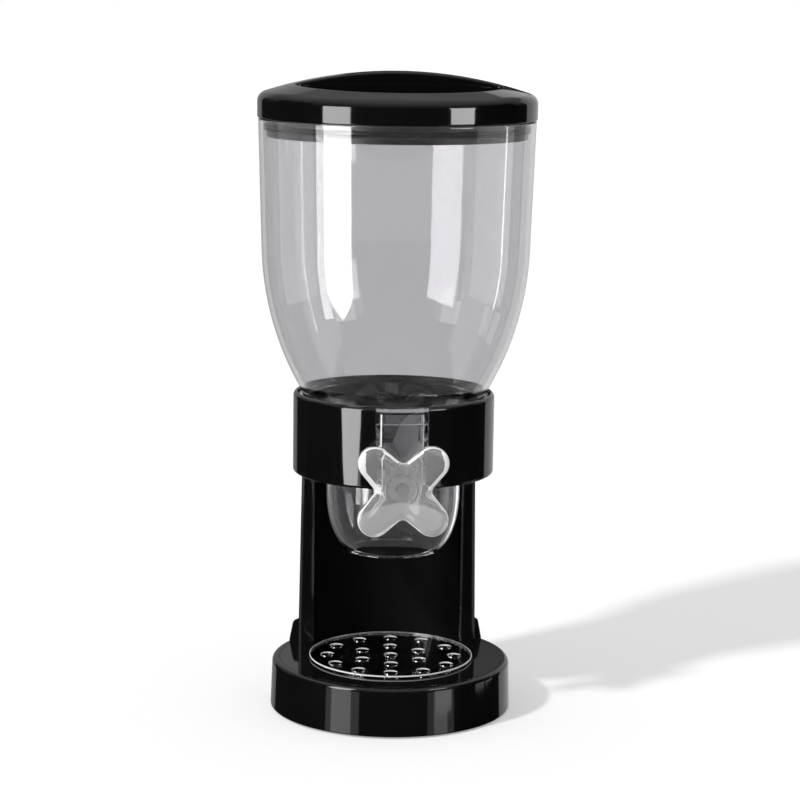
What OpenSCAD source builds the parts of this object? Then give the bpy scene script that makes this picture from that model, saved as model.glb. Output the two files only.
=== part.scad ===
// Gravity dispenser for dry food: clear hopper, paddle wheel, black stand.
// Millimetres. Z is up, the knob faces -Y, and the origin is on the table under the hopper's axis.

/* [Base] */
// Radius of the base at its foot
base_r = 71.8; // [70:0.2:78]
// How much the base narrows from foot to top
base_draft = 1.0; // [0:0.1:2]
// Height of the base shell
base_h = 28.2; // [26:0.2:40]
// Rounding of the base's top edge
base_edge_r = 2.5; // [1:0.1:4]
// Thickness of the base shell's walls
base_wall = 2.6; // [2:0.1:3.2]
// Depth of the crumb well below its ledge
well_depth = 6.0; // [5:0.2:8]
// Height of the ears that hold the column's foot
ear_h = 13.8; // [8:0.2:20]
// Depth of the column's foot in the base
foot_depth = 8.0; // [6:0.2:9]
// Thickness of the closing plate
plate_t = 2.4; // [2:0.1:3]
// Radius of each rubber foot
pad_r = 7.0; // [5:0.2:9]
// How far the rubber feet stand out below the base
pad_out = 1.2; // [0.8:0.1:2]
// Distance of the rubber feet from the axis
pad_ring_r = 58.0; // [48:0.5:59]

/* [Tray] */
// Radius of the crumb tray
tray_r = 48.7; // [44:0.1:49.5]
// Thickness of the tray's floor
tray_t = 1.6; // [1.4:0.1:2.4]
// Height of the tray's rim above its floor
tray_rim_h = 0.8; // [0.4:0.1:2]
// Radius of each crumb hole
hole_r = 4.2; // [2.5:0.1:4.6]
// Radius of the inner ring of six holes
hole_ring_in = 19.5; // [15:0.5:21]
// Radius of the outer ring of twelve holes
hole_ring_out = 38.0; // [34:0.5:38.5]

/* [Column] */
// Height of the column between the base and the collar
column_h = 114.1; // [105:0.5:150]
// Radius of the column's hollow front face
column_in_r = 52.9; // [51.5:0.1:53]
// How much the column widens from the collar down to the base
column_draft = 1.6; // [0:0.1:2.5]
// Distance of the column's front edges behind the axis
column_edge_y = 27.5; // [22:0.5:34]
// Thickness of the column's outer wall
column_wall = 2.2; // [1.8:0.1:2.6]
// Thickness of the inner panel
panel_t = 2.0; // [1.5:0.1:2.2]

/* [Collar] */
// Outer radius of the collar
collar_r = 59.3; // [59:0.1:60.5]
// Wall thickness of the collar
collar_wall = 3.0; // [2.4:0.1:3.2]
// Height of the collar
collar_h = 47.5; // [44:0.5:56]
// Rounding of the collar's top edge
collar_edge_r = 2.6; // [1:0.1:2.8]
// Half width of the open notch in front
notch_half = 15.0; // [14:0.1:18]
// Height of the ledge that carries the hopper, above the collar's lower edge
ledge_up = 27.2; // [24:0.2:30]

/* [Hopper] */
// Height of the canister above its shoulder
hopper_h = 161.2; // [130:0.5:220]
// Outer radius of the canister's rim
rim_r = 80.6; // [79:0.1:86]
// How much the canister widens from the end of its curved bowl to the rim
bowl_flare = 2.3; // [2:0.1:4.6]
// Height of the end of the bowl's curve above the shoulder
bowl_h = 85.0; // [75:0.5:95]
// Wall thickness of the canister
hopper_wall = 2.4; // [1.8:0.1:3]
// Length of the neck that plugs into the outlet cup
neck_len = 9.5; // [7:0.1:10]
// Depth of the shoulder below the collar's top
shoulder_sink = 1.5; // [1:0.1:3]

/* [Outlet cup] */
// Outer radius of the cup
cup_r = 40.0; // [39:0.1:41]
// Wall thickness of the cup
cup_wall = 2.0; // [1.6:0.1:2.2]
// Distance of the cup's mouth below the shaft
mouth_drop = 49.8; // [46:0.2:56]
// Outer radius of the cup at its mouth
mouth_r = 25.0; // [22:0.2:32]
// Height of the rounded lower part of the cup
taper_h = 36.0; // [30:0.5:38]
// Half width of the nose that carries the front bearing
nose_half = 12.4; // [11.5:0.1:13]
// Height of the cone between the cup and its socket ring
cone_h = 15.0; // [12:0.2:16]

/* [Paddle wheel] */
// Height of the shaft's axis above the collar's lower edge
axis_up = 1.3; // [0:0.1:4]
// Radius of the shaft
shaft_r = 4.0; // [3.4:0.1:4.2]
// Number of paddle blades
blade_count = 6; // [6]
// Angle of the first blade above the horizontal
blade_angle = 66; // [0:1:90]
// Thickness of a blade
blade_t = 2.0; // [1.2:0.1:2.4]
// Gap between the blades' tips and the chamber's wall
blade_gap = 1.5; // [0.8:0.1:2.5]
// Radius of the slotted hub
hub_r = 9.0; // [8.4:0.1:11]
// Length of the slotted hub
hub_len = 64.0; // [50:0.5:64]

/* [Knob] */
// Width of the knob across its lobes
knob_w = 51.7; // [46:0.1:58]
// Radius of each lobe's end
lobe_r = 9.5; // [8:0.1:11]
// Half width of the knob at its waists
waist = 16.5; // [15:0.1:18]
// Rounding of the knob at its waists
waist_fillet = 4; // [2:0.5:6]
// Thickness of the knob's plate
knob_t = 8.0; // [6:0.2:10]
// Radius of the knob's boss
boss_r = 9.0; // [7.5:0.1:10]
// Depth of the dished front of the knob
dish_depth = 2.4; // [1:0.1:3]

/* [Lid] */
// How far the lid stands out past the canister's rim
lid_lip = 0.6; // [0.2:0.1:3]
// Height of the lid's upright rim
lid_rim_h = 10.8; // [9:0.2:14]
// Radius of the lid's domed top
dome_r = 250; // [220:5:320]
// Rounding between the rim and the dome
lid_edge_r = 4.0; // [3:0.1:5]
// Thickness of the lid's wall
lid_wall = 2.4; // [2:0.1:2.8]
// Distance of the half-moon finger scoops from the lid's outside
scoop_edge = 13.7; // [12:0.1:22]
// Thickness of the grip bar between the scoops
bar_w = 16.0; // [12:0.5:22]
// Height of the scoops' floor above the lid's lower edge
scoop_floor = 6.0; // [5.4:0.1:8]
// Height of the plug below the lid
plug_h = 10.5; // [9:0.1:14]
// Thickness of the plug's wall
plug_wall = 2.5; // [2.2:0.1:3]

/* [Fasteners] */
// Radius of the screws' shanks
screw_r = 1.5; // [1.2:0.1:1.6]
// Radius of the screws' heads
head_r = 2.9; // [2.5:0.1:3.2]
// Height of the screws' heads
head_h = 2.0; // [1.6:0.1:2.2]

/* [Fits] */
// Gap between parts that lift out and what carries them
seat_gap = 0.3; // [0.2:0.05:0.4]
// Gap between fixed parts that plug into each other
plug_gap = 0.3; // [0.2:0.05:0.4]
// Radial gap of a fixed round part in its hole
fit_gap = 0.05; // [0.03:0.01:0.1]
// Radial running clearance of the shaft
run_gap = 0.06; // [0.03:0.01:0.1]

/* [Hidden] */
$fn = 96;
// overshoot of a cut past the face that it opens
cut = 1;
// distance beyond every part
far = 400;

// finishes
black = [0.05, 0.05, 0.06];
dark = [0.12, 0.12, 0.13];
clear_smoke = [0.72, 0.72, 0.75, 0.45];
clear_bright = [0.85, 0.86, 0.88, 0.5];
silicone = [0.7, 0.71, 0.72];
acetal = [0.6, 0.61, 0.62];
steel = [0.75, 0.75, 0.77];

// base
base_z0 = pad_out;
base_top_r = base_r - base_draft;
base_top = base_z0 + base_h;
base_in_r = base_top_r - base_wall;
plate_gap = 0.4;
plate_r = base_in_r - plate_gap;
pad_t = pad_out + plate_t / 2;
plate_top = base_z0 + plate_t;
plate_seat_gap = 0.03;
plate_head_h = plate_t / 2;
plate_screw_angles = [8, 172, 238, 302];
plate_screw_edge = 5.5;
plate_screw_ring = base_in_r - plate_screw_edge;
plate_boss_r = 4.2;
plate_screw_len = 8;
// how much deeper the screw holes are than the screws
hole_spare = 1;
pad_angles = [45, 135, 225, 315];

// tray and crumb well
tray_y = -1;
tray_side_gap = 0.5;
tray_seat_depth = 1.0;
seat_z = base_top - tray_seat_depth;
ledge_w = 2.2;
seat_r = tray_r + tray_side_gap;
well_r = tray_r - ledge_w;
well_floor = seat_z - well_depth;
tray_z0 = seat_z + seat_gap;
tray_rim_w = 1.2;
hole_turn = 26;
hole_turn_out = -4.6;

// column
foot_z = base_top - foot_depth;
column_top = base_top + column_h;
column_top_r = collar_r;
column_foot_r = collar_r + column_draft;
panel_out_r = column_in_r + panel_t;
shell_in_r = panel_out_r + plug_gap;
edge_strip_t = 2.4;
socket_wall = 2.4;
socket_in_r = column_in_r - plug_gap;
socket_out_r = column_foot_r + plug_gap;
socket_floor_t = 2.6;
socket_z0 = foot_z - socket_floor_t;
foot_block_h = 14;
column_screw_len = foot_block_h - 2 * hole_spare;
// radius at which the fasteners stand inside the column's wall
column_mid_r = (shell_in_r + column_foot_r) / 2;
column_screw_angles = [50, 90, 130];
ear_back = 8.5;
ear_taper = 1.6;
ear_round_r = 3.2;
ear_out_r = base_top_r - base_edge_r * 0.6;

// collar
collar_z0 = column_top;
collar_top = collar_z0 + collar_h;
collar_in_r = collar_r - collar_wall;
ledge_z = collar_z0 + ledge_up;
ledge_t = 3;
collar_foot_r = 1.5;
collar_bore_edge = 0.8;
root_h = 4;
tongue_drop = 25;
tongue_rise = 6;
tongue_in_r = shell_in_r;
tongue_out_r = column_top_r - column_wall - plug_gap;
tongue_span = 30;
collar_screw_turn = 15;
collar_screw_drop = 13;
collar_screw_len = 2.8;

// outlet cup
axis_z = collar_z0 + axis_up;
shoulder_z = collar_top - shoulder_sink;
ring_gap = 0.4;
ring_r = collar_in_r - ring_gap;
ring_wall = 2.4;
ring_in_r = ring_r - ring_wall;
step_z = ledge_z + seat_gap;
cone_z = step_z - cone_h;
socket_step_z = shoulder_z - neck_len;
cup_in_r = cup_r - cup_wall;
mouth_z = axis_z - mouth_drop;
taper_z = mouth_z + taper_h;
taper_steps = 14;
neck_r = ring_in_r - plug_gap;
neck_in_r = neck_r - hopper_wall;
step_w = 8.5;
step_r = cup_r + step_w;
ledge_play = 4.5;
ledge_in_r = step_r + ledge_play;
nose_wall = 2.0;
nose_out = 0.3;
nose_front_r = collar_r + nose_out;
nose_roof_t = 2.4;
bearing_wall = 2.2;
rear_boss_r = 10.5;
rear_boss_len = 5;
rear_boss_end = cup_r + rear_boss_len;
flange_seat = 0.4;
front_face = nose_front_r - flange_seat;
front_boss_len = 8;
front_boss_in = front_face - front_boss_len;

// bushings and shaft
sleeve_wall = 1.6;
bore_r = shaft_r + run_gap;
shaft_hole_r = shaft_r + 2 * seat_gap;
sleeve_r = bore_r + sleeve_wall;
flange_w = 2.3;
flange_r = sleeve_r + flange_w;
flange_t = 1.4;
bushing_gap = 0.1;
sleeve_len = 6.4;
front_flange_end = front_face + bushing_gap + flange_t;
rear_flange_end = rear_boss_end + bushing_gap + flange_t;
sweep_r = cup_in_r - blade_gap;
clip_t = 1.0;
clip_w = 2.4;
clip_r = shaft_r + clip_w;
clip_groove = 0.8;
groove_r = shaft_r - clip_groove;
// half width of the clip's open mouth
clip_mouth = groove_r * 0.8;
clip_y = rear_flange_end + seat_gap;
tail_len = 0.8;
shaft_tail = clip_y + clip_t + tail_len;
hex_r = shaft_r;
knob_back = front_flange_end + seat_gap;
boss_len = 4.2;
plate_back = knob_back + boss_len;
knob_front = plate_back + knob_t;
socket_in_plate = 4;
hex_socket_depth = boss_len + socket_in_plate;
hub_bore_r = hex_r + fit_gap;
slot_depth = 3.3;
slot_gap = 0.1;
blade_root_r = hub_r - slot_depth + slot_gap;

// knob outline
lobe_d = knob_w / 2 - lobe_r;
lobe_reach = lobe_d * sqrt(2);
// centre of the small arc that rounds a waist, and where a lobe's arc runs into its straight flank
waist_c = waist + waist_fillet;
flank_span = norm([lobe_d, waist_c - lobe_d]);
lobe_end = atan2(waist_c - lobe_d, -lobe_d) - acos((lobe_r + waist_fillet) / flank_span);

// lid
rim_z = shoulder_z + hopper_h;
lid_z0 = rim_z + seat_gap;
lid_r = rim_r + lid_lip;
lid_rim_z = lid_z0 + lid_rim_h;
// slope at which the rounded edge meets the dome, and the height of the dome's centre
dome_slope = asin((lid_r - lid_edge_r) / (dome_r - lid_edge_r));
dome_cz = lid_rim_z - (dome_r - lid_edge_r) * cos(dome_slope);
scoop_floor_z = lid_z0 + scoop_floor;
bar_half = bar_w / 2;
scoop_r = lid_r - bar_half - scoop_edge;
mouth_in_r = rim_r - hopper_wall;
plug_play = 2.4;
plug_r = mouth_in_r - plug_play;
plug_z0 = lid_z0 - plug_h;
plug_top = dome_cz + sqrt(pow(dome_r - lid_wall, 2) - plug_r * plug_r) - plug_gap;
groove_depth = 1.0;
groove_up = 3.2;
groove_z = plug_z0 + groove_up;
// the canister's wall leans in a little down to the seal
seal_reach = mouth_in_r - (rim_z - groove_z) * bowl_flare / (hopper_h - bowl_h) - seat_gap;
seal_h = 4.0;
seal_in_r = plug_r - groove_depth + fit_gap;

// points of an arc of the XZ half plane
function arc(cx, cz, r, a0, a1, n = 8) =
    [for (i = [0:n]) [cx + r * cos(a0 + (a1 - a0) * i / n), cz + r * sin(a0 + (a1 - a0) * i / n)]];

// the canister's radius at a height: an arc for the bowl that runs smoothly into the straight flare
bowl_z = shoulder_z + bowl_h;
bowl_r = rim_r - bowl_flare;
flare = atan(bowl_flare / (hopper_h - bowl_h));
bowl_curve_r = (pow(bowl_r - neck_r, 2) + bowl_h * bowl_h)
    / (2 * ((bowl_r - neck_r) * cos(flare) - bowl_h * sin(flare)));
bowl_cz = bowl_z + bowl_curve_r * sin(flare);
bowl_cr = bowl_r - bowl_curve_r * cos(flare);
function bowl_at(z, inset) = bowl_cr + sqrt(pow(bowl_curve_r - inset, 2) - pow(bowl_cz - z, 2));

// a solid turned round the Z axis from a list of [radius, height]
module turned(points) {
    rotate_extrude() polygon(points);
}

// a ring between two radii and two heights
module ring(r_in, r_out, z0, z1) {
    difference() {
        translate([0, 0, z0]) cylinder(r = r_out, h = z1 - z0);
        translate([0, 0, z0 - cut]) cylinder(r = r_in, h = z1 - z0 + 2 * cut);
    }
}

// what lies behind the plane y = edge
module behind(edge) {
    intersection() {
        children();
        translate([-far / 2, edge, -far / 4]) cube([far, far, 2 * far]);
    }
}

// a round bar along Y between two depths in front of (+) or behind (-) the axis
module y_bar(r, y0, y1, fn = $fn) {
    translate([0, y0, axis_z]) rotate([-90, 0, 0]) cylinder(r = r, h = y1 - y0, $fn = fn);
}

// base ---------------------------------------------------------------------

module base_body() {
    turned(concat(
        [[0, base_z0], [base_r, base_z0]],
        arc(base_top_r - base_edge_r, base_top - base_edge_r, base_edge_r, 0, 90),
        [[0, base_top]]
    ));
}

module base_cavity() {
    difference() {
        translate([0, 0, base_z0 - cut]) cylinder(r = base_in_r, h = base_h + cut - base_wall);
        // walls of the crumb well
        translate([0, tray_y, well_floor - base_wall])
            cylinder(r = seat_r + base_wall, h = base_h);
        // block round the column's socket
        behind(column_edge_y - socket_wall - plug_gap)
            ring(socket_in_r - socket_wall, socket_out_r + socket_wall, socket_z0, base_top);
        // bosses of the closing plate's screws
        for (a = plate_screw_angles)
            rotate(a) translate([plate_screw_ring, 0, plate_top + plate_seat_gap])
                cylinder(r = plate_boss_r, h = base_h);
    }
}
module ears() {
    rise = base_top + ear_h;
    intersection() {
        turned(concat(
            [[socket_out_r, base_top - cut], [ear_out_r, base_top - cut], [ear_out_r, base_top + cut]],
            arc(ear_out_r - ear_taper - ear_round_r, rise - ear_round_r, ear_round_r, 10, 90),
            [[socket_out_r, rise]]
        ));
        translate([-far / 2, column_edge_y + ear_back, 0]) cube([far, far, far]);
    }
}

module base_shell() color(black) {
    difference() {
        union() {
            difference() {
                base_body();
                base_cavity();
            }
            ears();
        }
        // seat of the tray and the crumb well
        translate([0, tray_y, seat_z]) cylinder(r = seat_r, h = base_h);
        translate([0, tray_y, well_floor]) cylinder(r = well_r, h = base_h);
        // socket of the column
        behind(column_edge_y - plug_gap) ring(socket_in_r, socket_out_r, foot_z, base_top + cut);
        for (a = column_screw_angles)
            rotate(a) translate([column_mid_r, 0, socket_z0 - cut])
                cylinder(r = screw_r + fit_gap, h = socket_floor_t + 2 * cut);
        for (a = plate_screw_angles)
            rotate(a) translate([plate_screw_ring, 0, base_z0])
                cylinder(r = screw_r + fit_gap, h = plate_t + plate_screw_len + hole_spare);
    }
}

module base_plate() color(dark) {
    difference() {
        translate([0, 0, base_z0]) cylinder(r = plate_r, h = plate_t);
        for (a = pad_angles)
            rotate(a) translate([pad_ring_r, 0, base_z0 - cut])
                cylinder(r = pad_r + fit_gap, h = plate_t / 2 + cut);
        for (a = plate_screw_angles)
            rotate(a) translate([plate_screw_ring, 0, base_z0 - cut]) {
                cylinder(r = screw_r + fit_gap, h = plate_t + 2 * cut);
                cylinder(r = head_r + fit_gap, h = plate_head_h + cut);
            }
    }
}
module base_plate_screws() color(steel)
    for (a = plate_screw_angles)
        rotate(a) translate([plate_screw_ring, 0, base_z0]) {
            cylinder(r = head_r, h = plate_head_h);
            cylinder(r = screw_r, h = plate_t + plate_screw_len);
        }

module rubber_feet() color(dark)
    for (a = pad_angles)
        rotate(a) translate([pad_ring_r, 0, 0]) cylinder(r = pad_r, h = pad_t);

// tray ---------------------------------------------------------------------

module hole_ring(count, r, turn)
    for (i = [0:count - 1])
        rotate(turn + i * 360 / count) translate([r, 0, -cut])
            cylinder(r = hole_r, h = tray_t + 2 * cut, $fn = 32);

module tray() color(clear_bright)
    translate([0, tray_y, tray_z0]) difference() {
        cylinder(r = tray_r, h = tray_t + tray_rim_h);
        translate([0, 0, tray_t]) cylinder(r = tray_r - tray_rim_w, h = tray_rim_h + cut);
        hole_ring(1, 0, 0);
        hole_ring(6, hole_ring_in, hole_turn);
        hole_ring(12, hole_ring_out, hole_turn_out);
    }

// column -------------------------------------------------------------------

module column_shell() color(black) {
    difference() {
        union() {
            // outer wall, with its solid foot and its rim under the collar
            behind(column_edge_y) turned([
                [shell_in_r, foot_z], [column_foot_r, foot_z], [column_top_r, column_top],
                [column_top_r - column_wall, column_top],
                [column_foot_r - column_wall, foot_z + foot_block_h], [shell_in_r, foot_z + foot_block_h]
            ]);
            // the two strips that close it beside the panel
            intersection() {
                turned([[column_in_r, foot_z], [column_foot_r - fit_gap, foot_z],
                    [column_top_r - fit_gap, column_top - fit_gap], [column_in_r, column_top - fit_gap]]);
                translate([-far / 2, column_edge_y, 0]) cube([far, edge_strip_t, far]);
            }
        }
        for (a = column_screw_angles)
            rotate(a) translate([column_mid_r, 0, foot_z - cut])
                cylinder(r = screw_r + fit_gap, h = foot_block_h + cut);
        collar_screw_holes(screw_r + fit_gap, column_in_r);
        collar_screw_holes(head_r + fit_gap, column_top_r - head_h / 2);
    }
}

module column_panel() color(black) {
    edge = column_edge_y + edge_strip_t + plug_gap / 2;
    behind(edge) ring(column_in_r, panel_out_r, foot_z, column_top - plug_gap);
}

module column_screws() color(steel)
    for (a = column_screw_angles)
        rotate(a) translate([column_mid_r, 0, socket_z0]) {
            translate([0, 0, -head_h]) cylinder(r = head_r, h = head_h);
            cylinder(r = screw_r, h = socket_floor_t + column_screw_len);
        }

// radial holes or screws at the column's back, from a radius outwards
module collar_screw_holes(r, from_r) {
    for (a = [90 - collar_screw_turn, 90 + collar_screw_turn])
        rotate(a) translate([from_r, 0, collar_z0 - collar_screw_drop])
            rotate([0, 90, 0]) cylinder(r = r, h = far);
}

// collar -------------------------------------------------------------------

// the plane sector within an angle on each side of +Y
module wedge(half_angle)
    polygon([[0, 0], far * [sin(half_angle), cos(half_angle)], far * [-sin(half_angle), cos(half_angle)]]);

module collar() color(black) {
    difference() {
        union() {
            // the ring, rounded outside
            turned(concat(
                [[collar_in_r, collar_z0]],
                arc(collar_r - collar_foot_r, collar_z0 + collar_foot_r, collar_foot_r, -90, 0),
                arc(collar_r - collar_edge_r, collar_top - collar_edge_r, collar_edge_r, 0, 90),
                [[collar_in_r, collar_top - collar_bore_edge]]
            ));
            // ledge that carries the outlet cup
            ring(ledge_in_r, collar_in_r + collar_wall / 2, ledge_z - ledge_t, ledge_z);
            // root that closes the column's top
            behind(column_edge_y)
                ring(column_in_r, collar_r - collar_foot_r, collar_z0, collar_z0 + root_h);
            // tongue that plugs into the column
            intersection() {
                ring(tongue_in_r, tongue_out_r, collar_z0 - tongue_drop, collar_z0 + tongue_rise);
                linear_extrude(height = far) wedge(tongue_span);
            }
        }
        // notch for the nose and the shaft
        translate([-notch_half, -far, collar_z0 - cut]) cube([2 * notch_half, far, collar_h + 2 * cut]);
        collar_screw_holes(screw_r + fit_gap, column_in_r);
    }
}

module collar_screws() color(steel)
    for (a = [90 - collar_screw_turn, 90 + collar_screw_turn])
        rotate(a) translate([column_top_r - head_h / 2, 0, collar_z0 - collar_screw_drop])
            rotate([0, 90, 0]) {
                cylinder(r = head_r, h = head_h);
                translate([0, 0, -collar_screw_len])
                    cylinder(r = screw_r, h = collar_screw_len + head_h / 2);
            }

// hopper -------------------------------------------------------------------

module hopper() color(clear_smoke) {
    bowl_steps = 22;
    z_of = function (i) shoulder_z + (bowl_z - shoulder_z) * i / bowl_steps;
    outer = [for (i = [0:bowl_steps]) [bowl_at(z_of(i), 0), z_of(i)]];
    inner = [for (i = [bowl_steps:-1:0]) [bowl_at(z_of(i), hopper_wall), z_of(i)]];
    rotate_extrude() polygon(concat(
        [[neck_in_r, socket_step_z], [neck_r, socket_step_z], [neck_r, shoulder_z]],
        outer,
        [[rim_r, rim_z], [mouth_in_r, rim_z]],
        inner,
        [[neck_in_r, shoulder_z - hopper_wall]]
    ));
}

// outlet cup ---------------------------------------------------------------

// the cup's outer form, or its inner form when inset by the wall and cut open below
module cup_solid(inset, low) {
    rotate_extrude() polygon(concat(
        [[0, mouth_z - low], [mouth_r, mouth_z - low]],
        // quarter of an ellipse from the mouth up to the upright wall
        [for (i = [0:taper_steps]) [
            mouth_r + (cup_r - inset - mouth_r) * sin(90 * i / taper_steps),
            taper_z - (taper_h - inset) * cos(90 * i / taper_steps)]],
        [[cup_r - inset, cone_z + inset]],
        inset > 0
            ? [[neck_in_r, socket_step_z], [neck_in_r, socket_step_z + cut], [0, socket_step_z + cut]]
            : [[step_r, step_z], [ring_r, step_z], [ring_r, shoulder_z], [0, shoulder_z]]
    ));
}

// upright block behind the nose's curved front, from a lower to an upper height
module nose_block(half, z0, z1, front) {
    intersection() {
        translate([-half, -far, z0]) cube([2 * half, far, z1 - z0]);
        translate([0, 0, z0]) cylinder(r = front, h = z1 - z0);
    }
}

// the nose: an upright box that is open below, with a round lower edge about the shaft
module nose() {
    difference() {
        union() {
            nose_block(nose_half, axis_z, shoulder_z, nose_front_r);
            intersection() {
                nose_block(nose_half, axis_z - nose_half, axis_z + cut, nose_front_r);
                y_bar(nose_half, -nose_front_r, 0);
            }
        }
        difference() {
            nose_block(nose_half - nose_wall, axis_z - nose_half - cut, shoulder_z - nose_roof_t,
                nose_front_r - bearing_wall);
            y_bar(sleeve_r + bearing_wall, -front_face, -front_boss_in);
        }
    }
}

module outlet_cup() color(clear_smoke) {
    difference() {
        union() {
            cup_solid(0, 0);
            nose();
            // rear bearing boss
            y_bar(rear_boss_r, cup_in_r, rear_boss_end);
        }
        cup_solid(cup_wall, cut);
        // socket of the hopper's neck
        translate([0, 0, socket_step_z]) cylinder(r = ring_in_r, h = neck_len + cut);
        // seat of the front flange, bearings and the shaft's way through the wall
        y_bar(flange_r + seat_gap, -nose_front_r - cut, -front_face);
        y_bar(sleeve_r + fit_gap, -nose_front_r - cut, -front_boss_in - cut);
        y_bar(sleeve_r + fit_gap, -front_face, -front_boss_in);
        y_bar(shaft_hole_r, -nose_front_r, 0);
        y_bar(sleeve_r + fit_gap, rear_boss_end - sleeve_len, rear_boss_end + cut);
        y_bar(shaft_hole_r, 0, rear_boss_end);
    }
}

module front_bushing() color(acetal) {
    difference() {
        union() {
            y_bar(flange_r, -front_flange_end, -front_face - bushing_gap);
            y_bar(sleeve_r, -front_flange_end, -front_face + sleeve_len);
        }
        y_bar(bore_r, -front_flange_end - cut, -front_face + sleeve_len + cut);
    }
}

module rear_bushing() color(acetal) {
    difference() {
        union() {
            y_bar(flange_r, rear_boss_end + bushing_gap, rear_flange_end);
            y_bar(sleeve_r, rear_boss_end - sleeve_len + bushing_gap, rear_flange_end);
        }
        y_bar(bore_r, rear_boss_end - sleeve_len, rear_flange_end + cut);
    }
}

// paddle wheel -------------------------------------------------------------

module paddle_shaft() color(steel) {
    difference() {
        union() {
            y_bar(hex_r, -knob_back - hex_socket_depth + cut, -knob_back, 6);
            y_bar(shaft_r, -knob_back, -hub_len / 2);
            y_bar(hex_r, -hub_len / 2, hub_len / 2, 6);
            y_bar(shaft_r, hub_len / 2, shaft_tail);
        }
        // groove of the clip
        difference() {
            y_bar(shaft_r + cut, clip_y, clip_y + clip_t);
            y_bar(groove_r, clip_y - cut, clip_y + clip_t + cut);
        }
    }
}

module shaft_clip() color(steel)
    difference() {
        y_bar(clip_r, clip_y + fit_gap, clip_y + clip_t - fit_gap);
        y_bar(groove_r + fit_gap, clip_y - cut, clip_y + clip_t + cut);
        // open mouth of the clip
        translate([-clip_mouth, clip_y - cut, axis_z - clip_r - cut])
            cube([2 * clip_mouth, clip_t + 2 * cut, clip_r + cut]);
    }

module paddle_hub() color(acetal) {
    difference() {
        y_bar(hub_r, -hub_len / 2, hub_len / 2);
        y_bar(hub_bore_r, -hub_len / 2 - cut, hub_len / 2 + cut, 6);
        for (i = [1:blade_count])
            blade_frame(i) translate([hub_r - slot_depth, -hub_len / 2 - cut, -blade_t / 2 - slot_gap / 2])
                cube([slot_depth + cut, hub_len + 2 * cut, blade_t + slot_gap]);
    }
}

// turns a shape that lies along +X to the place of one blade
module blade_frame(i) {
    translate([0, 0, axis_z]) rotate([0, -blade_angle - (i - 1) * 360 / blade_count, 0]) children();
}

module paddle_blade(i) color(silicone) {
    blade_frame(i) translate([0, 0, -blade_t / 2]) linear_extrude(height = blade_t) intersection() {
        circle(r = sweep_r);
        translate([blade_root_r, -sweep_r]) square([sweep_r, 2 * sweep_r]);
    }
}

// knob ---------------------------------------------------------------------

// four lobes joined by straight flanks and rounded waists
module knob_outline()
    polygon([for (k = [0:90:270]) each concat(
        arc(lobe_reach * cos(45 + k), lobe_reach * sin(45 + k), lobe_r,
            90 - lobe_end + k, lobe_end + k, 14),
        arc(-waist_c * sin(k), waist_c * cos(k), waist_fillet,
            lobe_end + 180 + k, 360 - lobe_end + k, 6)
    )]);

module knob() color(clear_bright) {
    dish_r = (pow(knob_w / 2, 2) + dish_depth * dish_depth) / (2 * dish_depth);
    difference() {
        union() {
            translate([0, -plate_back, axis_z]) rotate([90, 0, 0])
                linear_extrude(height = knob_t) knob_outline();
            y_bar(boss_r, -plate_back - cut, -knob_back);
        }
        // dished front face
        translate([0, -knob_front - dish_r + dish_depth, axis_z]) sphere(r = dish_r, $fn = 160);
        // socket of the shaft
        y_bar(hex_r + fit_gap, -knob_back - hex_socket_depth, -knob_back + cut, 6);
    }
}

// lid ----------------------------------------------------------------------

// the lid's outer or inner form, as a solid down to its lower edge
module dome_solid(inset) {
    foot = lid_z0 - (inset > 0 ? cut : 0);
    rotate_extrude() polygon(concat(
        [[0, foot], [lid_r - inset, foot]],
        arc(lid_r - lid_edge_r, lid_rim_z, lid_edge_r - inset, 0, 90 - dome_slope),
        arc(0, dome_cz, dome_r - inset, 90 - dome_slope, 90, 14)
    ));
}

// half-moon prism on one side of the grip bar
module half_moon(r, off, z0) {
    translate([0, 0, z0]) linear_extrude(height = far) intersection() {
        translate([0, -bar_half]) circle(r = r);
        translate([-far / 2, -far - off]) square([far, far]);
    }
}

module both_scoops(r, off, z0)
    for (a = [0, 180])
        rotate(a) half_moon(r, off, z0);

module lid() color(black) {
    difference() {
        dome_solid(0);
        difference() {
            dome_solid(lid_wall);
            both_scoops(scoop_r + lid_wall, bar_half - lid_wall, scoop_floor_z - lid_wall);
        }
        both_scoops(scoop_r, bar_half, scoop_floor_z);
    }
}

module lid_plug() color(dark) {
    rotate_extrude() polygon([
        [0, plug_z0], [plug_r, plug_z0], [plug_r, groove_z], [plug_r - groove_depth, groove_z],
        [plug_r - groove_depth, groove_z + seal_h], [plug_r, groove_z + seal_h], [plug_r, plug_top],
        [plug_r - plug_wall, plug_top], [plug_r - plug_wall, plug_z0 + plug_wall], [0, plug_z0 + plug_wall]
    ]);
}

module lid_seal() color(dark) {
    lip = 1.0;
    body_r = plug_r + 0.4;
    rotate_extrude() polygon([
        [seal_in_r, groove_z + fit_gap], [body_r, groove_z + fit_gap],
        [seal_reach, groove_z + fit_gap + lip], [body_r, groove_z + 2 * lip],
        [body_r, groove_z + seal_h - 2 * lip], [seal_reach, groove_z + seal_h - lip],
        [body_r, groove_z + seal_h - fit_gap], [seal_in_r, groove_z + seal_h - fit_gap]
    ]);
}

base_shell();
base_plate();
base_plate_screws();
rubber_feet();
column_shell();
column_panel();
column_screws();
collar();
collar_screws();
hopper();
outlet_cup();
front_bushing();
rear_bushing();
knob();
paddle_shaft();
paddle_hub();
paddle_blade(1);  // paddle_blade_1
paddle_blade(2);  // paddle_blade_2
paddle_blade(3);  // paddle_blade_3
paddle_blade(4);  // paddle_blade_4
paddle_blade(5);  // paddle_blade_5
paddle_blade(6);  // paddle_blade_6
shaft_clip();
lid();
lid_plug();
lid_seal();
tray();
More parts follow.
